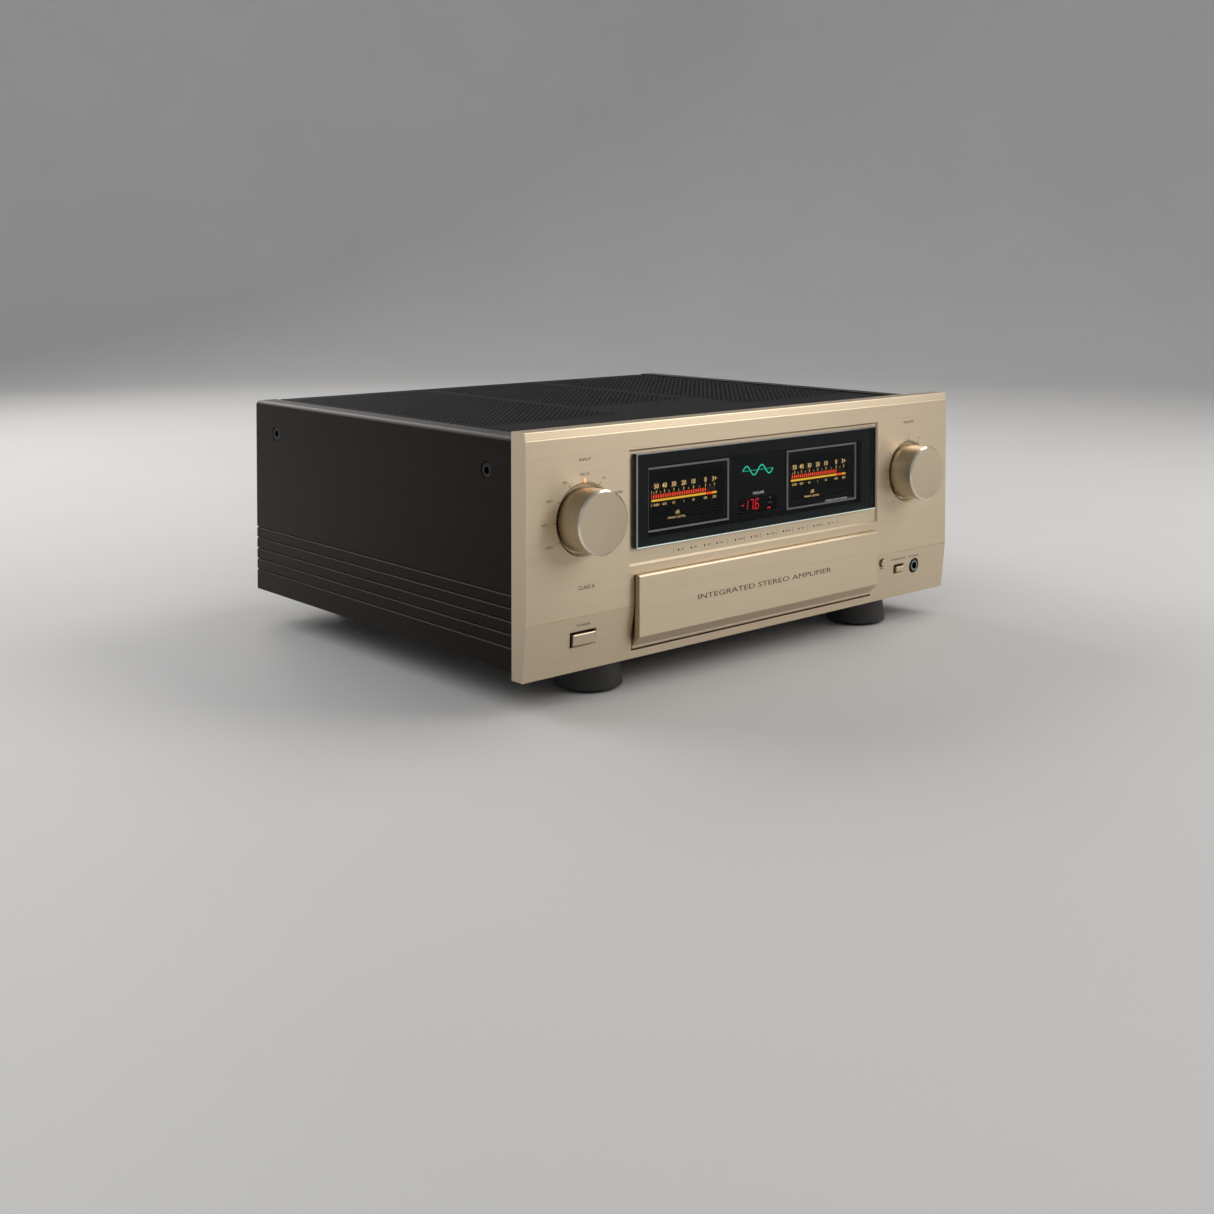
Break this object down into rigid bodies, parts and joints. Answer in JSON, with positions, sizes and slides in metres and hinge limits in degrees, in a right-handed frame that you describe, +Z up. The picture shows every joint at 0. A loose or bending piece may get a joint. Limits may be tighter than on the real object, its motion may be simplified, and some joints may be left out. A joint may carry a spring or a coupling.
{
  "type": "integrated amplifier",
  "caption": "Full-width integrated stereo amplifier: gold front with level meters, turning knobs and a drop-down control flap, dark sides, perforated top, rear terminals.",
  "frame": {"origin": "on the standing surface, below the middle of the overall box", "axes": "+X towards the listener's right, +Y towards the rear, +Z up"},
  "size_m": [0.465, 0.428, 0.191],
  "materials": {
    "gold_panel": "champagne gold anodised, fine horizontal brushing",
    "gold_knob": "champagne gold anodised, turned",
    "display_glass": "polished smoked window",
    "display_charcoal": "matt charcoal",
    "silver_trim": "satin",
    "meter_black": "dark filter",
    "circuit_board": "solder mask",
    "bright_steel": "bright",
    "zinc_steel": "zinc plated",
    "component_black": "moulded",
    "jack_chrome": "plated",
    "dark_side": "dark anodised, fine brushing",
    "black_cover": "satin black",
    "black_steel": "satin black",
    "foot_iron": "fine cast, black",
    "foot_rubber": "matt",
    "rear_paint": "fine textured black",
    "black_plastic": "moulded",
    "gold_plate": "gold plated",
    "black_screws": "black plated",
    "cap_plastic": "moulded",
    "capacitor_sleeve": "sleeve",
    "sink_aluminium": "extruded"
  },
  "bodies": {
    "root": {"front_panel": "gold_panel", "display_glass": "display_glass", "display_mask": "display_charcoal", "meter_frames": "silver_trim", "level_meters": "meter_black", "volume_readout": "meter_black", "display_board": "circuit_board", "input_selector": "zinc_steel", "volume_sensor": "component_black", "power_switch": "component_black", "panel_switches": "component_black", "headphone_jack": "jack_chrome", "sub_panel": "gold_panel", "small_controls": "component_black", "front_chassis": "zinc_steel", "side_panel_left": "dark_side", "side_panel_right": "dark_side", "side_screws": "black_screws", "top_cover": "black_cover", "chassis": "black_steel", "feet": "foot_iron", "foot_pads": "foot_rubber", "rear_panel": "rear_paint", "ac_inlet": "black_plastic", "post_bases": "black_plastic", "post_studs": "gold_plate", "rca_jacks": "gold_plate", "xlr_sockets": "black_plastic", "option_covers": "rear_paint", "case_screws": "black_screws", "transformer": "component_black", "filter_capacitors": "capacitor_sleeve", "heat_sinks": "sink_aluminium", "output_transistors": "component_black", "preamp_board": "circuit_board"},
    "input_knob": {"input_knob": "gold_knob", "input_shaft": "bright_steel"},
    "volume_knob": {"volume_knob": "gold_knob", "volume_shaft": "bright_steel"},
    "flap_door": {"flap_door": "gold_panel", "flap_hinge_pins": "bright_steel"},
    "power_button": {"power_button": "gold_knob"},
    "attenuator_button": {"attenuator_button": "gold_knob"},
    "flap_button": {"flap_button": "gold_knob"},
    "speaker_knob": {"speaker_knob": "gold_knob"},
    "bass_knob": {"bass_knob": "gold_knob"},
    "treble_knob": {"treble_knob": "gold_knob"},
    "balance_knob": {"balance_knob": "gold_knob"},
    "meter_button": {"meter_button": "gold_knob"},
    "mono_button": {"mono_button": "gold_knob"},
    "tone_button": {"tone_button": "gold_knob"},
    "loudness_button": {"loudness_button": "gold_knob"},
    "post_cap_1": {"post_cap_1": "cap_plastic"},
    "post_cap_2": {"post_cap_2": "cap_plastic"},
    "post_cap_3": {"post_cap_3": "cap_plastic"},
    "post_cap_4": {"post_cap_4": "cap_plastic"},
    "post_cap_5": {"post_cap_5": "cap_plastic"},
    "post_cap_6": {"post_cap_6": "cap_plastic"},
    "post_cap_7": {"post_cap_7": "cap_plastic"},
    "post_cap_8": {"post_cap_8": "cap_plastic"}
  },
  "joints": [
    {"name": "input_turn", "type": "hinge", "parent": "root", "child": "input_knob", "pos_m": [-0.1802, -0.194, 0.1275], "axis": [0, 1, 0], "range_deg": [-120, 90]},
    {"name": "volume_turn", "type": "hinge", "parent": "root", "child": "volume_knob", "pos_m": [0.1802, -0.194, 0.1275], "axis": [0, 1, 0], "range_deg": [-200, 80]},
    {"name": "flap_hinge", "type": "hinge", "parent": "root", "child": "flap_door", "pos_m": [0, -0.1894, 0.0301], "axis": [1, 0, 0], "range_deg": [0, 90]},
    {"name": "power_press", "type": "slide", "parent": "root", "child": "power_button", "axis": [0, 1, 0], "range_m": [0, 0.003], "stiffness_N_per_m": 400, "springref_m": -0.002},
    {"name": "attenuator_press", "type": "slide", "parent": "root", "child": "attenuator_button", "axis": [0, 1, 0], "range_m": [0, 0.002], "stiffness_N_per_m": 300, "springref_m": -0.002},
    {"name": "release_press", "type": "slide", "parent": "root", "child": "flap_button", "axis": [0, 1, 0], "range_m": [0, 0.002], "stiffness_N_per_m": 300, "springref_m": -0.002},
    {"name": "speaker_turn", "type": "hinge", "parent": "root", "child": "speaker_knob", "pos_m": [-0.108, -0.184, 0.0555], "axis": [0, 1, 0], "range_deg": [0, 120]},
    {"name": "bass_turn", "type": "hinge", "parent": "root", "child": "bass_knob", "pos_m": [0.044, -0.184, 0.0555], "axis": [0, 1, 0], "range_deg": [-140, 140]},
    {"name": "treble_turn", "type": "hinge", "parent": "root", "child": "treble_knob", "pos_m": [0.076, -0.184, 0.0555], "axis": [0, 1, 0], "range_deg": [-140, 140]},
    {"name": "balance_turn", "type": "hinge", "parent": "root", "child": "balance_knob", "pos_m": [0.108, -0.184, 0.0555], "axis": [0, 1, 0], "range_deg": [-140, 140]},
    {"name": "meter_press", "type": "slide", "parent": "root", "child": "meter_button", "axis": [0, 1, 0], "range_m": [0, 0.002], "stiffness_N_per_m": 250, "springref_m": -0.002},
    {"name": "mono_press", "type": "slide", "parent": "root", "child": "mono_button", "axis": [0, 1, 0], "range_m": [0, 0.002], "stiffness_N_per_m": 250, "springref_m": -0.002},
    {"name": "tone_press", "type": "slide", "parent": "root", "child": "tone_button", "axis": [0, 1, 0], "range_m": [0, 0.002], "stiffness_N_per_m": 250, "springref_m": -0.002},
    {"name": "loudness_press", "type": "slide", "parent": "root", "child": "loudness_button", "axis": [0, 1, 0], "range_m": [0, 0.002], "stiffness_N_per_m": 250, "springref_m": -0.002},
    {"name": "post_turn_1", "type": "hinge", "parent": "root", "child": "post_cap_1", "pos_m": [-0.16, 0.202, 0.0595], "axis": [0, 1, 0], "range_deg": [0, 1440]},
    {"name": "post_turn_2", "type": "hinge", "parent": "root", "child": "post_cap_2", "pos_m": [-0.16, 0.202, 0.0935], "axis": [0, 1, 0], "range_deg": [0, 1440]},
    {"name": "post_turn_3", "type": "hinge", "parent": "root", "child": "post_cap_3", "pos_m": [-0.196, 0.202, 0.0595], "axis": [0, 1, 0], "range_deg": [0, 1440]},
    {"name": "post_turn_4", "type": "hinge", "parent": "root", "child": "post_cap_4", "pos_m": [-0.196, 0.202, 0.0935], "axis": [0, 1, 0], "range_deg": [0, 1440]},
    {"name": "post_turn_5", "type": "hinge", "parent": "root", "child": "post_cap_5", "pos_m": [0.16, 0.202, 0.0595], "axis": [0, 1, 0], "range_deg": [0, 1440]},
    {"name": "post_turn_6", "type": "hinge", "parent": "root", "child": "post_cap_6", "pos_m": [0.16, 0.202, 0.0935], "axis": [0, 1, 0], "range_deg": [0, 1440]},
    {"name": "post_turn_7", "type": "hinge", "parent": "root", "child": "post_cap_7", "pos_m": [0.196, 0.202, 0.0595], "axis": [0, 1, 0], "range_deg": [0, 1440]},
    {"name": "post_turn_8", "type": "hinge", "parent": "root", "child": "post_cap_8", "pos_m": [0.196, 0.202, 0.0935], "axis": [0, 1, 0], "range_deg": [0, 1440]}
  ]
}
